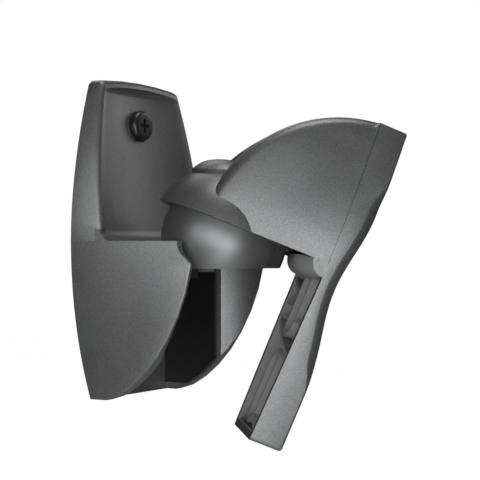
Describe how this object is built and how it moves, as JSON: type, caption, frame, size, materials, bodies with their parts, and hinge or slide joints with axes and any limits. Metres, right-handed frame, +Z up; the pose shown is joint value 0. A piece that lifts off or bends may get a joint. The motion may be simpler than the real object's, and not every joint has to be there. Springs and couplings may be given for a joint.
{
  "type": "speaker wall bracket",
  "caption": "Wall bracket for a small loudspeaker: shield-shaped wall part with a hollow keel, turning ball, tilting hood and a ribbed, slotted speaker plate.",
  "frame": {"origin": "the upper wall screw's axis in the wall plane", "axes": "+Z up, +Y into the wall along the screw's axis, +X to the right for a viewer facing the wall"},
  "size_m": [0.0811, 0.108, 0.1168],
  "materials": {
    "anthracite": "fine texture, matt",
    "black_plastic": "smooth, matt",
    "black_steel": "black, satin",
    "bare_steel": "plain"
  },
  "bodies": {
    "wall": {"wall_bracket": "anthracite", "keel_insert": "black_plastic", "insert_screw_left": "black_steel", "insert_screw_right": "black_steel", "upper_wall_screw": "black_steel", "lower_wall_screw": "black_steel", "turn_screw": "black_steel", "turn_spring_washer": "bare_steel", "turn_friction_disc": "black_plastic", "turn_washer": "bare_steel", "turn_nut": "bare_steel"},
    "ball": {"ball_shell": "anthracite", "front_cap": "black_plastic"},
    "arm": {"hood": "anthracite", "clamp_screw": "black_steel", "clamp_washer": "black_steel", "clamp_saddle": "black_plastic", "clamp_nut": "bare_steel", "speaker_plate": "anthracite", "plate_screw_1": "black_steel", "plate_screw_2": "black_steel", "plate_screw_3": "black_steel", "plate_screw_4": "black_steel"}
  },
  "joints": [
    {"name": "turn", "type": "hinge", "parent": "wall", "child": "ball", "pos_m": [0, -0.0355, -0.0371], "axis": [0, 0, 1], "range_deg": [-82, 0]},
    {"name": "tilt", "type": "hinge", "parent": "ball", "child": "arm", "pos_m": [0, -0.0355, -0.0371], "axis": [0.7547, 0.6561, 0], "range_deg": [-22, 0]}
  ]
}
